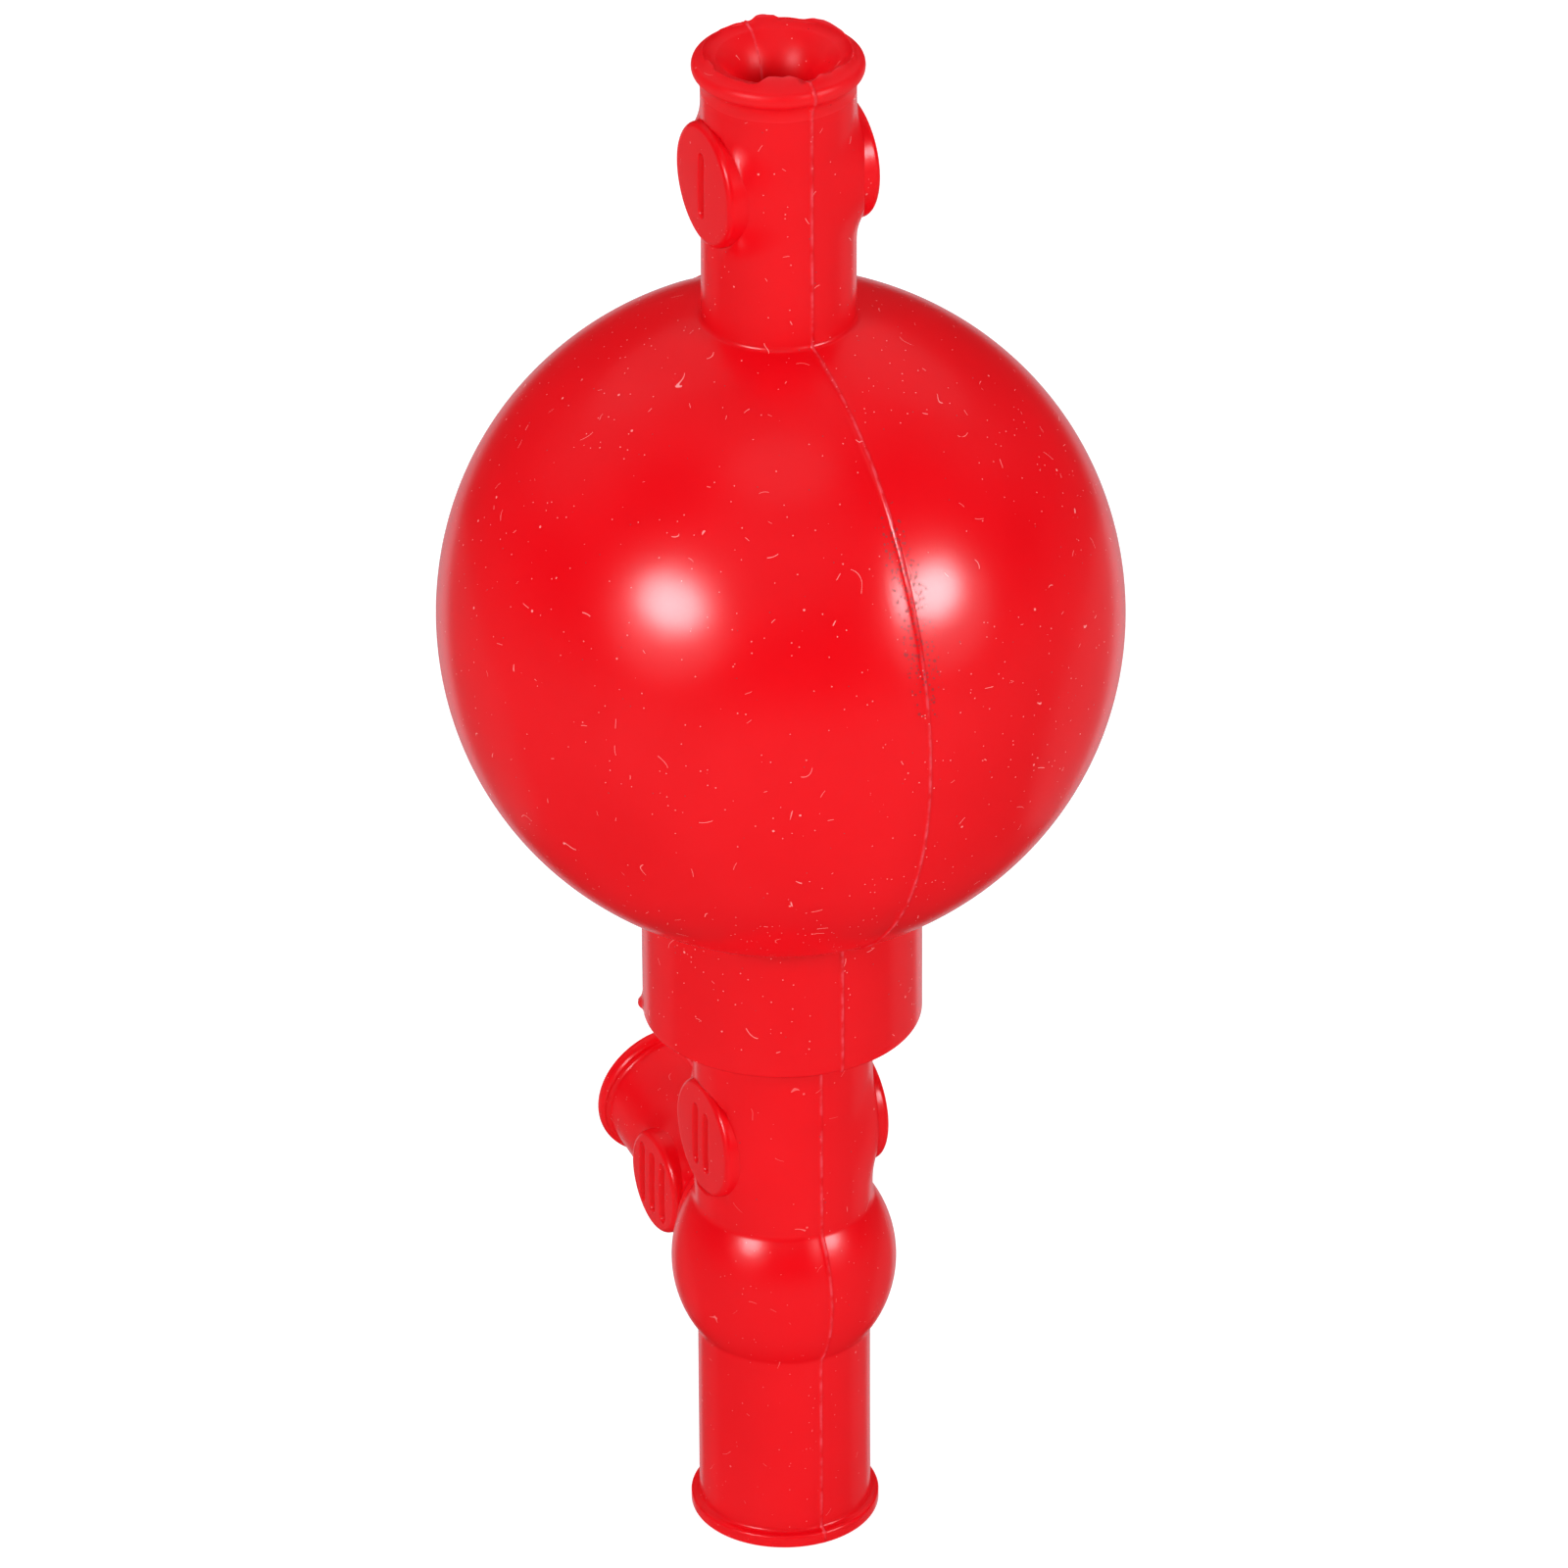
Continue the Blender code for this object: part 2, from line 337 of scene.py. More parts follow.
def grid_mesh(name, points, rows_closed, columns_closed):
    """A closed mesh over a grid of points, with a flat cap over each end that isn't joined to another."""
    rows, columns = points.shape[:2]
    index = np.arange(rows * columns).reshape(rows, columns)
    low = index if rows_closed else index[:-1]
    high = np.roll(index, -1, 0) if rows_closed else index[1:]
    corners = [low, np.roll(low, -1, 1), np.roll(high, -1, 1), high]
    if not columns_closed:
        corners = [low[:, :-1], low[:, 1:], high[:, 1:], high[:, :-1]]
    faces = np.stack(corners, axis=-1).reshape(-1, 4).tolist()
    caps = []
    if not columns_closed:
        caps = [index[:, 0], index[::-1, -1]]
    elif not rows_closed:
        caps = [index[0, ::-1], index[-1]]
    faces += [cap.tolist() for cap in caps]
    mesh = bpy.data.meshes.new(name)
    mesh.from_pydata(points.reshape(-1, 3).tolist(), [], faces)
    mesh.shade_smooth()
    for face in mesh.polygons[len(mesh.polygons) - len(caps) :]:
        face.use_smooth = False
    mesh.update()
    made = bpy.data.objects.new(name, mesh)
    bpy.context.scene.collection.objects.link(made)
    return made


# ---------------------------------------------------------------- shaping rules


def wave(points, length):
    """A slow, even wandering between -1 and 1 over space."""
    x, y, z = (points[..., i] / length for i in range(3))
    first = np.sin(x + 1.3 * np.sin(0.7 * z)) * np.sin(1.1 * y + 0.9 * np.sin(0.8 * x))
    return 0.6 * first + 0.4 * np.sin(0.9 * z + 1.7 * np.sin(0.6 * y) + 0.5)


def ridge(points, reach):
    """Height of the parting ridge, which is uneven along its length, and of the step beside it."""
    y = points[..., 1]
    along = wave(points * (1, 0, 1), 0.55 * MM) * 0.22 + wave(points * (1, 0, 1), 0.17 * MM) * 0.12
    crest = RIDGE_HEIGHT * (0.8 + along) * np.exp(-np.abs(y / RIDGE_WIDTH) ** 2.6)
    step = RIDGE_STEP * smooth(0.1 * MM, 0.3 * MM, -y) * (1 - smooth(0.5 * MM, 2.2 * MM, -y))
    return (crest - step) * reach


def mouth_flash(points, top):
    """How the mouth's edge, the only part above the top, is drawn up and inwards into torn flash."""
    x, y, z = (points[..., i] for i in range(3))
    turn = np.degrees(np.arctan2(y, x))
    rise = 0.12 * MM * (1 + wave(points, 0.45 * MM))
    reach = 0.05 * MM * (1 + wave(points, 0.6 * MM))
    for centre, spread_to, up, inwards in MOUTH_FLASH:
        away = np.abs((turn - centre + 180) % 360 - 180)
        share = 1 - smooth(0.6 * spread_to, 1.15 * spread_to, away)
        rise += up * share
        reach += inwards * share
    torn = 1 + 0.1 * wave(points, 0.28 * MM) + 0.12 * wave(points, 0.9 * MM)
    torn *= smooth(0, 0.3 * MM, np.abs(y)) * (z > top)
    shrink = -reach * torn / np.hypot(x, y)
    return np.stack([x * shrink, y * shrink, rise * torn], axis=-1)


def nub(points, angle, height, reach, rise):
    """How far a small nub stands out of the skin."""
    x, y, z = (points[..., i] for i in range(3))
    turn = (np.arctan2(y, x) - math.radians(angle) + math.pi) % (2 * math.pi) - math.pi
    return rise * np.exp(-(((np.hypot(x, y) * turn) ** 2 + (z - height) ** 2) / reach**2))


def surround(points, pad, swell):
    """How far the wall round a pad moves out along y to meet the pad in a soft fillet, and how far the
    skin under the pad sinks into its pocket. Nothing moves at the parting plane."""
    centre, radius, face, sunk = pad
    away = np.hypot(points[..., 0] - centre.x, points[..., 2] - centre.z)
    y = np.abs(points[..., 1])
    near = np.clip(1 - (away - radius) / swell, 0, 1) ** 2
    room = np.maximum(face - SWELL_BELOW_FACE - y, 0)
    out = room * near * SWELL_SHARE * smooth(0.3 * MM, 3 * MM, y)
    inside = 1 - smooth(radius - 0.45 * MM, radius - 0.12 * MM, away)
    under = np.maximum(y + out - sunk, 0) * inside
    return np.sign(points[..., 1]) * (out - under)


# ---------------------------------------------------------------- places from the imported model


class Pump:
    """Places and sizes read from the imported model."""

    def __init__(self, frame):
        low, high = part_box("squeeze_bulb")
        self.top = high.z
        self.collar_foot = low.z
        low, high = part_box("bulb_wall_front")
        self.bulb_r = -low.y
        self.bulb_z = (low.z + high.z) / 2
        low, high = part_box("safety_wall_front")
        self.safety_r = -low.y
        self.safety_z = (low.z + high.z) / 2
        self.plug_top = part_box("valve_body")[1].z
        travel = {joint["name"]: joint["range_m"][1] for joint in frame["joints"]}
        self.pads = {}
        self.under_pads = {}
        for valve, (_, _, proud) in VALVES.items():
            low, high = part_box(f"{valve}_pad_front")
            centre = Vector(((low.x + high.x) / 2, 0, (low.z + high.z) / 2))
            face = proud - low.y
            pinch = travel[f"{valve}_pinch"]
            self.pads[valve] = (centre, (high.x - low.x) / 2, face, face - pinch - POCKET_ROOM)
            ball_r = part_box(f"{valve}_ball")[1].y
            self.under_pads[valve] = ball_r + pinch + BALL_ROOM


# ---------------------------------------------------------------- the rubber


def rubber_piece(made, rubber, dull_faces, *nodes):
    """Gives a piece its rubber, with the duller kind on the faces numbered so, and hides the CAD nodes that
    it replaces.
    """
    shiny, dull = rubber
    made.data.materials.append(shiny)
    made.data.materials.append(dull)
    for face in made.data.polygons:
        face.material_index = int(face.index in dull_faces)
    if nodes:
        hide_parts(*nodes)


def faces_from(row, points):
    """The numbers of a half-turned piece's faces from one row to its last."""
    rows, columns = points.shape[:2]
    return range(row * (columns - 1), (rows - 1) * (columns - 1))


def bend(made):
    """Bakes the piece's placement into its mesh."""
    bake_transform(made)


def rim_outside(top):
    """The bead round the neck's mouth, from the neck's wall up and over to the mouth's edge."""
    hollow = arc((NECK_R + RIM_HOLLOW_R, top - RIM_HEIGHT), RIM_HOLLOW_R, 180, 148, 0.15 * MM)
    bead = arc((RIM_R - RIM_BEAD_R, top - 1.1 * MM), RIM_BEAD_R, -58, 78, 0.1 * MM, RIM_BEAD_STRETCH)
    low, high = top - 0.05 * MM, top + MOUTH_EDGE
    edge = [(MOUTH_R + MOUTH_EDGE, low), (MOUTH_R + MOUTH_EDGE / 2, high)]
    edge += [(MOUTH_R - MOUTH_EDGE / 2, high), (MOUTH_R - MOUTH_EDGE, low)]
    return [*hollow, *bead, *edge]


def bulb_outline(pump):
    """The bulb moulding from its collar's foot up the outside to the mouth, and back down the inside."""
    foot, top = pump.collar_foot, pump.top
    centre = (0, pump.bulb_z)
    inner_r = pump.bulb_r - BULB_WALL
    bore = PLUG_R + COLLAR_GAP
    low, collar_fillet = ball_fillet(pump.bulb_r, pump.bulb_z, COLLAR_R, COLLAR_FILLET, -1)
    high, neck_fillet = ball_fillet(pump.bulb_r, pump.bulb_z, NECK_R, NECK_FILLET, 1)
    corner = arc((COLLAR_R - COLLAR_CORNER, foot + COLLAR_CORNER), COLLAR_CORNER, -90, 0, 0.1 * MM)
    rim = rim_outside(top)
    outside = joined(
        run([(bore + 0.3 * MM, foot), corner[0]], 0.5 * MM),
        corner,
        run([corner[-1], collar_fillet[-1]], 0.4 * MM),
        collar_fillet[::-1],
        arc(centre, pump.bulb_r, low, high, 0.55 * MM),
        neck_fillet,
        run([neck_fillet[-1], rim[0]], 0.24 * MM),
        rim,
    )
    funnel_foot = top - FUNNEL_DEPTH
    throat = top - THROAT_DEPTH
    inside = joined(
        arc((FUNNEL_FOOT_R + FUNNEL_R, funnel_foot), FUNNEL_R, 128, 180, 0.2 * MM),
        run([(FUNNEL_FOOT_R, funnel_foot), (THROAT_R, throat), (BORE_R, throat - 1.0 * MM)], 0.5 * MM),
        arc(centre, inner_r, angle_at(inner_r, BORE_R), -angle_at(inner_r, bore), 1.2 * MM),
        run([(bore, foot + 0.3 * MM), (bore + 0.3 * MM, foot)], 1.0 * MM)[:-1],
    )
    return outside, inside


def make_bulb(pump, rubber):
    """The two halves of the bulb moulding, which carry the air valve's pads."""
    outside, inside = bulb_outline(pump)
    rim_start = len(outside) - len(rim_outside(pump.top))
    for side, word in SIDES:
        points = turned(outside + inside, side)
        out = outward(points, False)
        skin = first_rows(points, len(outside))
        shift = wave(points, 7 * MM) * 0.05 * MM + ridge(points, 1) + nub(points, *COLLAR_NUB)
        points = points + out * (shift * skin)[..., None] + mouth_flash(points, pump.top)
        points[..., 1] += surround(points, pump.pads["air_valve"], VALVES["air_valve"][1]) * skin
        made = grid_mesh(f"bulb_moulding_{word}", points, True, False)
        rubber_piece(made, rubber, faces_from(rim_start, points), "squeeze_bulb", f"bulb_wall_{word}")
        bend(made)


def body_outline(pump):
    """The valve body moulding from its mouth up the outside to its plug, and back down its passage."""
    centre = (0, pump.safety_z)
    radius, height, stretch = pump.safety_r, pump.safety_z, SAFETY_STRETCH
    low, sleeve_fillet = ball_fillet(radius, height, SLEEVE_R, SAFETY_FILLET, -1, stretch)
    high, tube_fillet = ball_fillet(radius, height, TUBE_R, SAFETY_FILLET, 1, stretch)
    shoulder = pump.collar_foot + PLUG_SHOULDER
    flange = joined(
        arc((FLANGE_R - 0.4 * MM, 0.4 * MM), 0.4 * MM, -90, -12, 0.1 * MM),
        arc((FLANGE_R - 0.3 * MM, FLANGE - 0.3 * MM), 0.3 * MM, 8, 84, 0.1 * MM),
        arc((SLEEVE_R + 0.35 * MM, FLANGE + 0.4 * MM), 0.35 * MM, 262, 180, 0.1 * MM),
    )
    outside = joined(
        run([(5.5 * MM, 0), flange[0]], 0.5 * MM),
        flange,
        run([flange[-1], sleeve_fillet[-1]], 0.4 * MM),
        sleeve_fillet[::-1],
        arc(centre, radius, low, high, 0.25 * MM, stretch),
        tube_fillet,
        run([tube_fillet[-1], (TUBE_R, shoulder)], 0.24 * MM),
    )
    plug = run(
        [
            (PLUG_R, shoulder),
            (PLUG_R, pump.plug_top - PLUG_CHAMFER),
            (PLUG_R - PLUG_CHAMFER, pump.plug_top),
            (BORE_R, pump.plug_top),
        ],
        1.5 * MM,
    )
    chamber = arc(centre, CHAMBER_R, angle_at(CHAMBER_R, BORE_R), -angle_at(CHAMBER_R, SOCKET_R), 0.8 * MM)
    bore = run([(BORE_R, pump.plug_top), chamber[0]], 2.0 * MM)
    socket = run([(SOCKET_R, SOCKET_FLARE), (4.9 * MM, 0.6 * MM), (5.1 * MM, 0.2 * MM)], 0.5 * MM)
    return outside, joined(plug, bore, chamber, socket)


def make_valve_body(pump, rubber):
    """The two halves of the valve body moulding, which carry the suction valve's pads."""
    outside, inside = body_outline(pump)
    for side, word in SIDES:
        points = turned(outside + inside, side)
        out = outward(points, False)
        skin = first_rows(points, len(outside))
        shift = wave(points, 4 * MM) * 0.03 * MM + ridge(points, 0.8)
        shift *= skin * smooth(0, 0.5 * MM, points[..., 2])
        points = points + out * shift[..., None]
        points[..., 1] += surround(points, pump.pads["suction_valve"], VALVES["suction_valve"][1]) * skin
        made = grid_mesh(f"valve_body_moulding_{word}", points, True, False)
        rubber_piece(made, rubber, faces_from(len(outside), points), "valve_body", f"safety_wall_{word}")
        bend(made)


def make_arm(pump, rubber):
    """The side arm, turned about its own axis, with a soft root where it grows out of the safety bulb."""
    lip_z = ARM_REACH - ARM_LIP
    lip = joined(
        arc((ARM_R + 0.5 * MM, lip_z - 0.35 * MM), 0.5 * MM, 180, 110, 0.1 * MM),
        arc((ARM_LIP_R - 0.55 * MM, ARM_REACH - 0.8 * MM), 0.55 * MM, -60, 90, 0.1 * MM, 1.45),
    )
    outside = joined(run([(ARM_R, ARM_ROOT), lip[0]], 0.24 * MM), lip)
    funnel_foot = ARM_REACH - ARM_FUNNEL_DEPTH
    inside = joined(
        run([(5.9 * MM, ARM_REACH - 0.05 * MM), (ARM_MOUTH_R, ARM_REACH - 0.5 * MM)], 0.2 * MM),
        arc((ARM_FUNNEL_FOOT_R + ARM_FUNNEL_R, funnel_foot), ARM_FUNNEL_R, 130, 180, 0.3 * MM),
        run([(BORE_R, funnel_foot - 1.4 * MM), (BORE_R, ARM_ROOT)], 2.0 * MM),
    )
    points = turned(outside + inside)
    out = outward(points, True)
    skin = first_rows(points, len(outside))
    points = points + out * (ridge(points, 0.8) * skin)[..., None]
    along = Vector((-math.cos(ARM_TILT), 0, math.sin(ARM_TILT)))
    up = Vector((math.sin(ARM_TILT), 0, math.cos(ARM_TILT)))
    axes = np.array([up, (0, 1, 0), along])
    points = points @ axes + (0, 0, pump.safety_z)
    out = out @ axes
    x, y, z = (points[..., i] for i in range(3))
    from_bulb = np.sqrt(x**2 + y**2 + ((z - pump.safety_z) / SAFETY_STRETCH) ** 2) - pump.safety_r
    from_tube = np.where(z > pump.safety_z + 4 * MM, np.hypot(x, y) - TUBE_R, 1)
    gap = np.clip(np.minimum(from_bulb, from_tube), 0, None)
    flare = ARM_FLARE * np.clip(1 - gap / ARM_FLARE_REACH, 0, 1) ** 2
    points = points + out * (flare * skin)[..., None]
    points[..., 1] += surround(points, pump.pads["empty_valve"], VALVES["empty_valve"][1]) * skin
    made = grid_mesh("side_arm_moulding", points, True, True)
    columns = points.shape[1]
    rubber_piece(made, rubber, range(len(outside) * columns, len(made.data.polygons)))
    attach(made, PUMP)


def pad_grooves(local, marks):
    """Depth of the tally grooves in a pad's face, set side by side across its middle."""
    across, along = local[..., 0], local[..., 2]
    found = np.zeros_like(across)
    for i in range(marks):
        beside = across - (i - (marks - 1) / 2) * GROOVE_SPACING
        beyond = np.maximum(np.abs(along) - GROOVE_HALF_LENGTH, 0)
        away = np.hypot(beside, beyond)
        found = np.maximum(found, 1 - smooth(0.35 * GROOVE_HALF_WIDTH, GROOVE_HALF_WIDTH, away))
    return found * GROOVE_DEPTH


def make_pads(pump, rubber):
    """Each valve's two raised discs, with rounded edges, softly spread feet and tally grooves. They are
    hollow behind, where the valve's ball is."""
    angles = np.linspace(0, 2 * math.pi, PAD_COLUMNS, endpoint=False)
    for valve, (marks, _, _) in VALVES.items():
        centre, radius, face, _ = pump.pads[valve]
        hollow = pump.under_pads[valve]
        flat = [(r, face) for r in np.linspace(0.05 * MM, radius - PAD_EDGE, 60)]
        edge = arc((radius - PAD_EDGE, face - PAD_EDGE), PAD_EDGE, 90, 0, 0.1 * MM)
        wall = run([(radius, PAD_EDGE), (radius + PAD_SPREAD, PAD_FOOT)], 0.3 * MM)
        wall = [(r, face - depth) for r, depth in wall]
        back = run([wall[-1], (PAD_HOLLOW_R, hollow), (0.05 * MM, hollow)], 1.0 * MM)
        outline = joined(flat, edge, wall, back)
        for side, word in SIDES:
            rows = [
                np.stack([r * np.cos(angles), np.full(len(angles), y), r * np.sin(angles)], axis=-1)
                for r, y in outline
            ]
            local = np.array(rows)
            level = smooth(face - 0.1 * MM, face - 0.02 * MM, local[..., 1])
            dome = PAD_DOME * (np.hypot(local[..., 0], local[..., 2]) / radius) ** 2
            local[..., 1] -= level * pad_grooves(local, marks) + dome
            local[..., 1] += wave(local, 1.7 * MM) * 0.03 * MM
            local[..., 1] *= side
            points = local + np.array(centre)
            if side == FRONT:
                points = points[:, ::-1]
            made = grid_mesh(f"{valve}_pad_moulding_{word}", points, False, True)
            rubber_piece(made, rubber, range(0), f"{valve}_pad_{word}")
            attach(made, f"{valve.split('_')[0]}_pad_{word}")


# ---------------------------------------------------------------- materials


def node(tree, kind, **settings):
    made = tree.nodes.new(kind)
    for name, value in settings.items():
        setattr(made, name, value)
    return made


def noise(tree, place, scale, detail=3.0):
    made = node(tree, "ShaderNodeTexNoise")
    made.inputs["Scale"].default_value = scale
    made.inputs["Detail"].default_value = detail
    tree.links.new(place, made.inputs["Vector"])
    return made.outputs["Fac"]


def ramp(tree, value, low, high, at_low, at_high):
    """A colour that goes from at_low to at_high as value goes from low to high."""
    made = node(tree, "ShaderNodeValToRGB")
    for element, position, colour in zip(made.color_ramp.elements, (low, high), (at_low, at_high)):
        element.position = position
        element.color = (*colour, 1)
    tree.links.new(value, made.inputs["Fac"])
    return made.outputs["Color"]


def spread(tree, value, low, high):
    """A number between low and high, as value goes from 0 to 1."""
    made = node(tree, "ShaderNodeMapRange")
    made.inputs["To Min"].default_value = low
    made.inputs["To Max"].default_value = high
    tree.links.new(value, made.inputs["Value"])
    return made.outputs["Result"]


def mixed(tree, share, first, second):
    """The first colour, a node's output, with the second, a plain colour, over it by share."""
    made = node(tree, "ShaderNodeMix", data_type="RGBA")
    tree.links.new(share, made.inputs["Factor"])
    tree.links.new(first, made.inputs["A"])
    made.inputs["B"].default_value = (*second, 1)
    return made.outputs["Result"]


def maths(tree, operation, first, second):
    """A Math node. Each input is another node's output or a number."""
    made = node(tree, "ShaderNodeMath", operation=operation)
    for socket, value in zip(made.inputs, (first, second)):
        if isinstance(value, (int, float)):
            socket.default_value = value
        else:
            tree.links.new(value, socket)
    return made.outputs[0]


def slope(tree, value, zero_at, one_at):
    """0 to 1 as value goes from zero_at to one_at."""
    made = node(tree, "ShaderNodeMapRange")
    made.inputs["From Min"].default_value = zero_at
    made.inputs["From Max"].default_value = one_at
    tree.links.new(value, made.inputs["Value"])
    return made.outputs["Result"]


def specks(tree, place, scale, size, share):
    """1 on scattered specks and 0 between them. share is the part of the cells that hold one."""
    cells = node(tree, "ShaderNodeTexVoronoi")
    cells.inputs["Scale"].default_value = scale
    tree.links.new(place, cells.inputs["Vector"])
    parts = node(tree, "ShaderNodeSeparateColor")
    tree.links.new(cells.outputs["Color"], parts.inputs["Color"])
    small = maths(tree, "LESS_THAN", cells.outputs["Distance"], size)
    return maths(tree, "MULTIPLY", small, maths(tree, "LESS_THAN", parts.outputs["Red"], share))


def curls(tree, place):
    """1 on short, fine, curved fibres. They are stretches of one level line of a slow noise."""
    field = noise(tree, place, 330, 0.0)
    off_line = maths(tree, "ABSOLUTE", maths(tree, "SUBTRACT", field, 0.5), 0.0)
    line = maths(tree, "LESS_THAN", off_line, 0.0038)
    return maths(tree, "MULTIPLY", line, maths(tree, "GREATER_THAN", noise(tree, place, 640, 0.0), 0.72))


def dust(tree, place):
    """1 on dust: fine specks, thicker in some patches, a few large ones, and fibres."""
    patches = maths(tree, "MULTIPLY", slope(tree, noise(tree, place, 90), 0.35, 0.7), 0.2)
    fine = specks(tree, place, 2500, 0.14, patches)
    found = maths(tree, "MAXIMUM", fine, specks(tree, place, 900, 0.1, 0.05))
    return maths(tree, "MAXIMUM", found, curls(tree, place))


def parting_marks_and_pit_shade(tree, place, pump):
    """The mould's marks, each from 0 to 1: pale flash along the parting line and over the mouth, and pitted
    spots scattered beside the line on the bulb's upper half, which are darkened with painted shade."""
    parts = node(tree, "ShaderNodeSeparateXYZ")
    tree.links.new(place, parts.inputs[0])
    away = maths(tree, "ABSOLUTE", parts.outputs["Y"], 0.0)
    line = slope(tree, away, 0.17 * MM, 0.07 * MM)
    broken = slope(tree, noise(tree, place, 800), 0.38, 0.62)
    line = maths(tree, "MULTIPLY", line, broken)
    height = parts.outputs["Z"]
    torn = maths(tree, "MULTIPLY", slope(tree, height, pump.top + 0.2 * MM, pump.top + 0.6 * MM), 0.8)
    off_middle = maths(tree, "ABSOLUTE", maths(tree, "SUBTRACT", height, pump.bulb_z + PITS_ABOVE), 0.0)
    middle = slope(tree, off_middle, PITS_REACH, PITS_THICK)
    close = maths(tree, "MULTIPLY", slope(tree, away, 1.7 * MM, 0.5 * MM), 0.75)
    share = maths(tree, "MULTIPLY", close, middle)
    # Pitted spots: their mask roughens the rubber, and darkens its colour as painted shade in the hollows.
    large = specks(tree, place, 2100, 0.3, share)
    small = specks(tree, place, 3300, 0.36, share)
    pits_and_shade = maths(tree, "MAXIMUM", large, small)
    return maths(tree, "MAXIMUM", line, torn), pits_and_shade


def new_material(name):
    """A new material, with its node tree and its shader."""
    made = bpy.data.materials.new(name)
    made.use_nodes = True
    return made, made.node_tree, made.node_tree.nodes["Principled BSDF"]


def rubber_material(name, pump, roughness, specular, dusty):
    """Red rubber: a deep red body with faint clouding, the mould's marks with painted shade in its pitted
    spots, scattered dark specks of painted shade, dust and fine wiping scratches. roughness is its least
    and most, and dusty is how strongly the dust shows."""
    made, tree, shader = new_material(name)
    place = node(tree, "ShaderNodeTexCoord").outputs["Object"]
    cloud = noise(tree, place, 70)
    pale, pits_and_shade = parting_marks_and_pit_shade(tree, place, pump)
    # Scattered dark specks join the pitted spots: painted shade standing for the shadows beside specks of
    # dust.
    pits_and_shade = maths(tree, "MAXIMUM", pits_and_shade, specks(tree, place, 1500, 0.1, 0.1 * dusty))
    colour = ramp(tree, cloud, 0.3, 0.7, *RUBBER_COLOURS)
    colour = mixed(tree, maths(tree, "MULTIPLY", pale, 0.32), colour, FLASH_COLOUR)
    # Painted shade: the pitted spots and the dark specks are darkened in colour.
    colour = mixed(tree, maths(tree, "MULTIPLY", pits_and_shade, 0.7), colour, PIT_SHADE_COLOUR)
    colour = mixed(tree, maths(tree, "MULTIPLY", dust(tree, place), dusty), colour, DUST_COLOUR)
    tree.links.new(colour, shader.inputs["Base Color"])
    roughened = maths(tree, "ADD", spread(tree, cloud, *roughness), maths(tree, "MULTIPLY", pits_and_shade, 0.16))
    tree.links.new(roughened, shader.inputs["Roughness"])
    grain = node(tree, "ShaderNodeBump")
    grain.inputs["Strength"].default_value = 0.15
    grain.inputs["Distance"].default_value = 0.02 * MM
    tree.links.new(noise(tree, place, 2600), grain.inputs["Height"])
    stretched = node(tree, "ShaderNodeMapping", vector_type="TEXTURE")
    stretched.inputs["Scale"].default_value = (1, 1, 14)
    tree.links.new(place, stretched.inputs["Vector"])
    wiped = node(tree, "ShaderNodeBump")
    wiped.inputs["Strength"].default_value = 0.22
    wiped.inputs["Distance"].default_value = 0.012 * MM
    tree.links.new(noise(tree, stretched.outputs["Vector"], 1900, 1.0), wiped.inputs["Height"])
    tree.links.new(grain.outputs["Normal"], wiped.inputs["Normal"])
    tree.links.new(wiped.outputs["Normal"], shader.inputs["Normal"])
    shader.inputs["IOR"].default_value = 1.5
    shader.inputs["Specular IOR Level"].default_value = specular
    shader.inputs["Subsurface Weight"].default_value = 0.12
    shader.inputs["Subsurface Radius"].default_value = (1.0, 0.12, 0.08)
    shader.inputs["Subsurface Scale"].default_value = 1.2 * MM
    return made


def glass_material():
    """Clear glass, faintly green and uneven in its gloss."""
    made, tree, shader = new_material("valve_glass")
    place = node(tree, "ShaderNodeTexCoord").outputs["Object"]
    cloud = noise(tree, place, 400)
    tree.links.new(ramp(tree, cloud, 0.3, 0.7, *GLASS_COLOURS), shader.inputs["Base Color"])
    tree.links.new(spread(tree, cloud, 0.02, 0.08), shader.inputs["Roughness"])
    shader.inputs["Transmission Weight"].default_value = 0.9
    shader.inputs["IOR"].default_value = 1.5
    return made


def studio_material(name, colour, glow):
    """A plain matt studio surface that glows by itself, so that it stays pale."""
    made, _, shader = new_material(name)
    shader.inputs["Base Color"].default_value = (*colour, 1)
    shader.inputs["Roughness"].default_value = 0.8
    shader.inputs["Emission Color"].default_value = (1, 1, 1, 1)
    shader.inputs["Emission Strength"].default_value = glow
    return made


def make_valve_balls(frame, material):
    """The valves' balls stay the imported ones, with a new material."""
    for valve in VALVES:
        ball = frame["nodes"][f"{valve}_ball"]
        ball.data.materials.clear()
        ball.data.materials.append(material)


# ---------------------------------------------------------------- camera, floor and lights


def direction(azimuth, elevation):
    """From the object towards a place at these angles. Azimuth 0 is the -Y side, and 90 the +X side."""
    turn, rise = math.radians(azimuth), math.radians(elevation)
    level = math.cos(rise)
    return Vector((math.sin(turn) * level, -math.cos(turn) * level, math.sin(rise)))


def place_facing(made, target, towards, distance):
    """Puts an object at a distance from the target, turned to face it."""
    bpy.context.scene.collection.objects.link(made)
    made.location = Vector(target) + towards * distance
    made.rotation_mode = "QUATERNION"
    made.rotation_quaternion = (-towards).to_track_quat("-Z", "Y")


def soft_light(name, target, turn, elevation, distance, size, radiance, shines, fills):
    """A soft light that faces the target. shines is for its reflection, and fills for its plain light."""
    light = bpy.data.lights.new(name, "AREA")
    light.shape = "ELLIPSE"
    light.size, light.size_y = size
    light.color = LIGHT_COLOUR
    light.energy = radiance * math.pi * (math.pi / 4 * size[0] * size[1])
    made = bpy.data.objects.new(name, light)
    place_facing(made, target, direction(CAMERA_AZIMUTH + turn, elevation), distance)
    made.visible_camera = False
    made.visible_glossy = shines
    made.visible_diffuse = fills


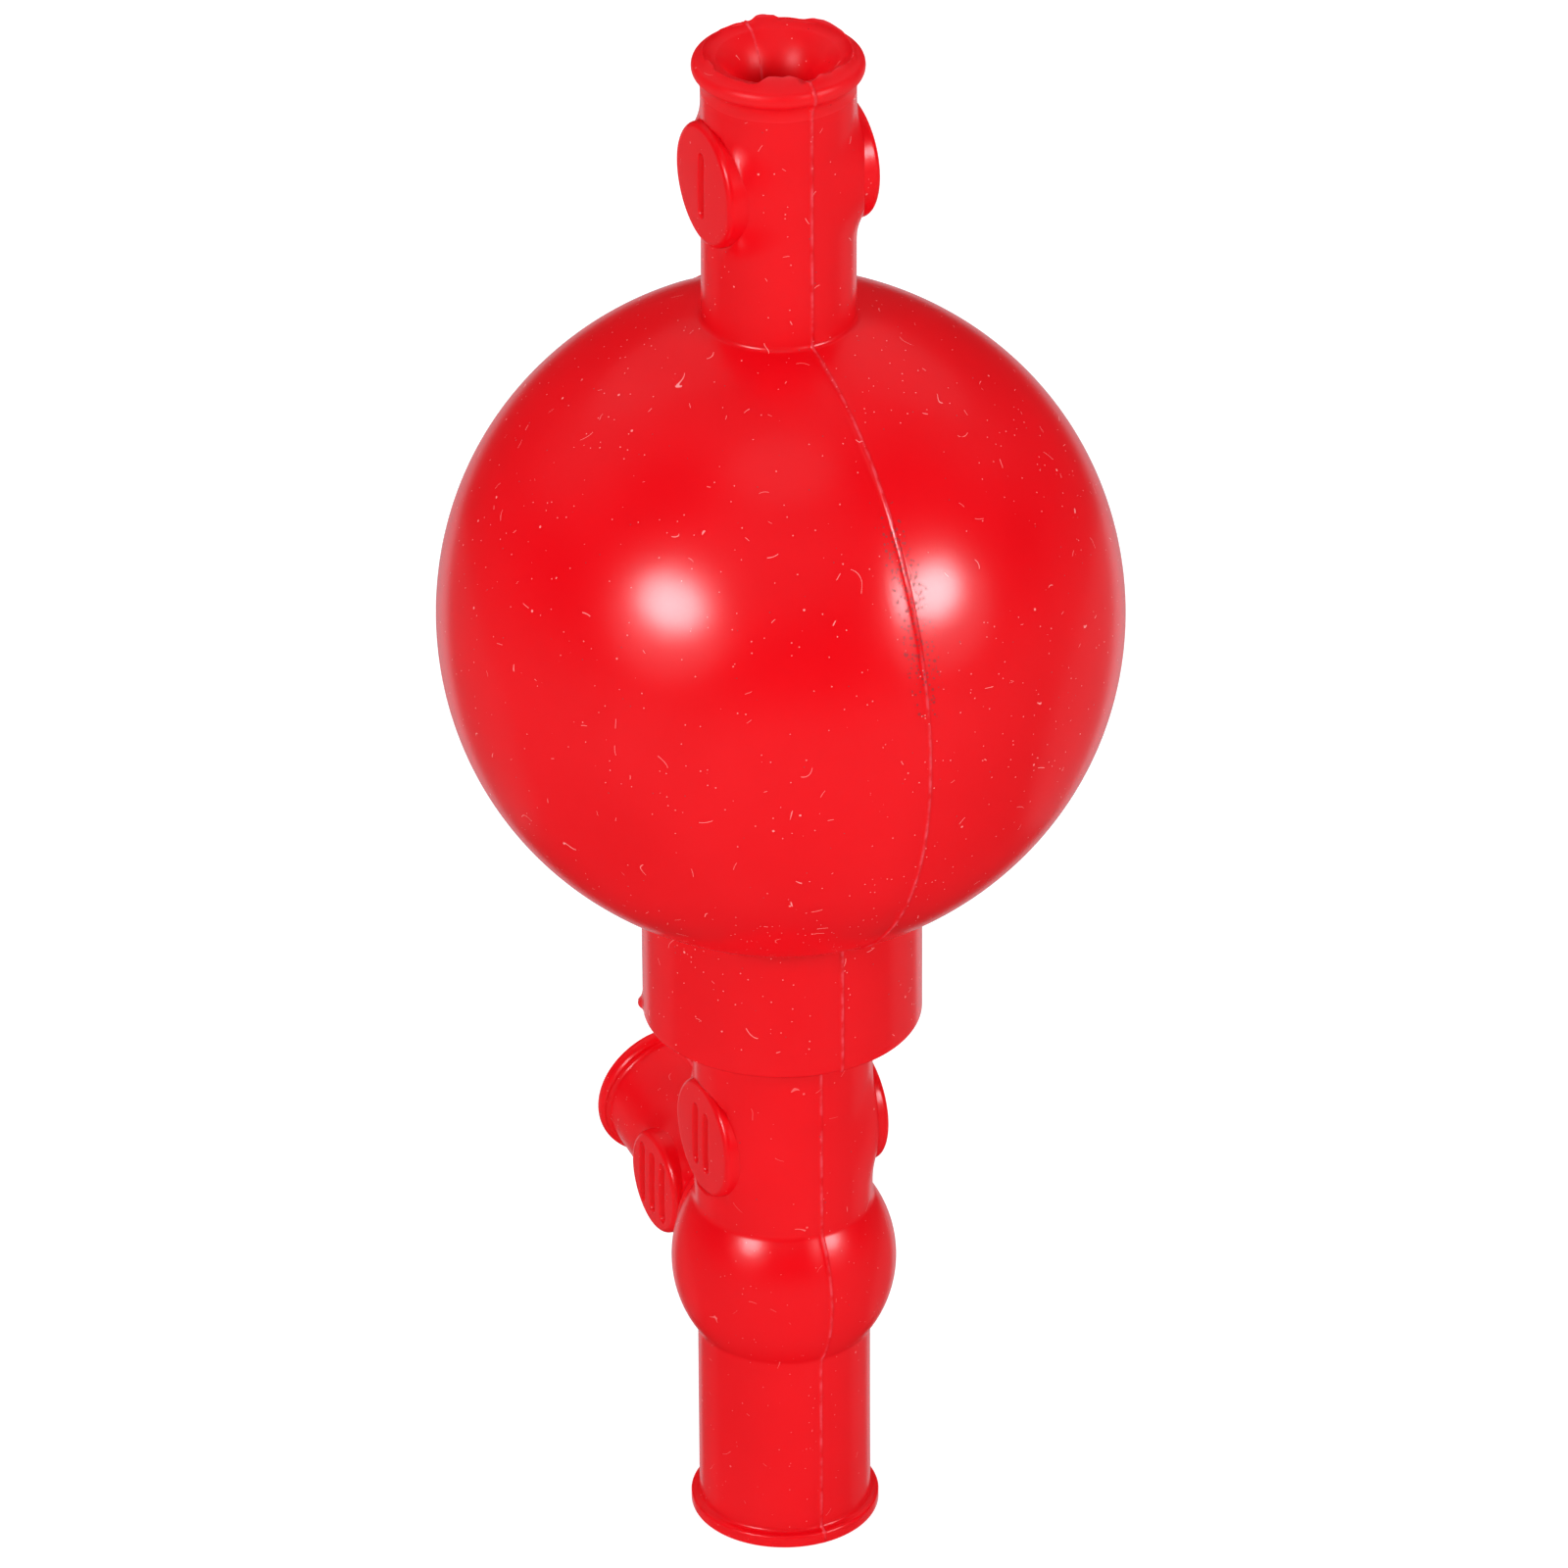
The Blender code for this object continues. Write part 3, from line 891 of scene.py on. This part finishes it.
def make_camera(target):
    """The scene's camera, with a long lens and a slight roll."""
    lens = bpy.data.cameras.new("camera")
    lens.lens = CAMERA_LENS
    lens.sensor_width = 36
    lens.clip_end = 20
    camera = bpy.data.objects.new("camera", lens)
    place_facing(camera, target, direction(CAMERA_AZIMUTH, CAMERA_ELEVATION), CAMERA_DISTANCE)
    camera.rotation_quaternion = camera.rotation_quaternion @ Quaternion((0, 0, 1), CAMERA_ROLL)
    bpy.context.scene.camera = camera


def stage_object(name, points, faces, material):
    """A studio surface. It casts no shadow and isn't seen in reflections."""
    mesh = bpy.data.meshes.new(name)
    mesh.from_pydata(points, [], faces)
    mesh.materials.append(material)
    made = bpy.data.objects.new(name, mesh)
    bpy.context.scene.collection.objects.link(made)
    made.visible_glossy = False
    made.visible_shadow = False
    return made


def make_stage(target):
    """A pale floor, a plain pale backdrop round it that only the camera sees, and the lights."""
    sides = STUDIO_SIDES
    turns = [2 * math.pi * i / sides for i in range(sides)]
    edge = [(STUDIO_REACH * math.cos(t), STUDIO_REACH * math.sin(t), 0) for t in turns]
    pale_floor = studio_material("pale_floor", FLOOR_COLOUR, FLOOR_GLOW)
    stage_object("floor", edge, [tuple(range(sides))], pale_floor)
    above = [(x, y, STUDIO_REACH) for x, y, _ in edge]
    walls = [(i, (i + 1) % sides, sides + (i + 1) % sides, sides + i) for i in range(sides)]
    pale_backdrop = studio_material("pale_backdrop", (0, 0, 0), BACKDROP_GLOW)
    backdrop = stage_object("backdrop", edge + above, walls, pale_backdrop)
    backdrop.visible_diffuse = False
    world = bpy.data.worlds.new("studio")
    world.use_nodes = True
    sky = world.node_tree.nodes["Background"]
    sky.inputs["Color"].default_value = (1, 1, 1, 1)
    sky.inputs["Strength"].default_value = WORLD_GLOW
    bpy.context.scene.world = world
    for name, settings in LIGHTS.items():
        soft_light(name, target, *settings)


def main():
    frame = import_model()
    pump = Pump(frame)
    azimuth = math.radians(CAMERA_AZIMUTH)
    right = Vector((math.cos(azimuth), math.sin(azimuth), 0))
    target = Vector((0, 0, pump.bulb_z - TARGET_DROP)) + right * TARGET_RIGHT
    make_camera(target)
    make_stage(target)
    bpy.context.scene.view_settings.view_transform = "Standard"
    glossy = rubber_material("glossy_red_rubber", pump, *GLOSSY_RUBBER)
    satin = rubber_material("satin_red_rubber", pump, *SATIN_RUBBER)
    dull = rubber_material("dull_red_rubber", pump, *DULL_RUBBER)
    make_bulb(pump, (glossy, dull))
    make_valve_body(pump, (satin, dull))
    make_arm(pump, (satin, dull))
    make_pads(pump, (satin, dull))
    make_valve_balls(frame, glass_material())


main()
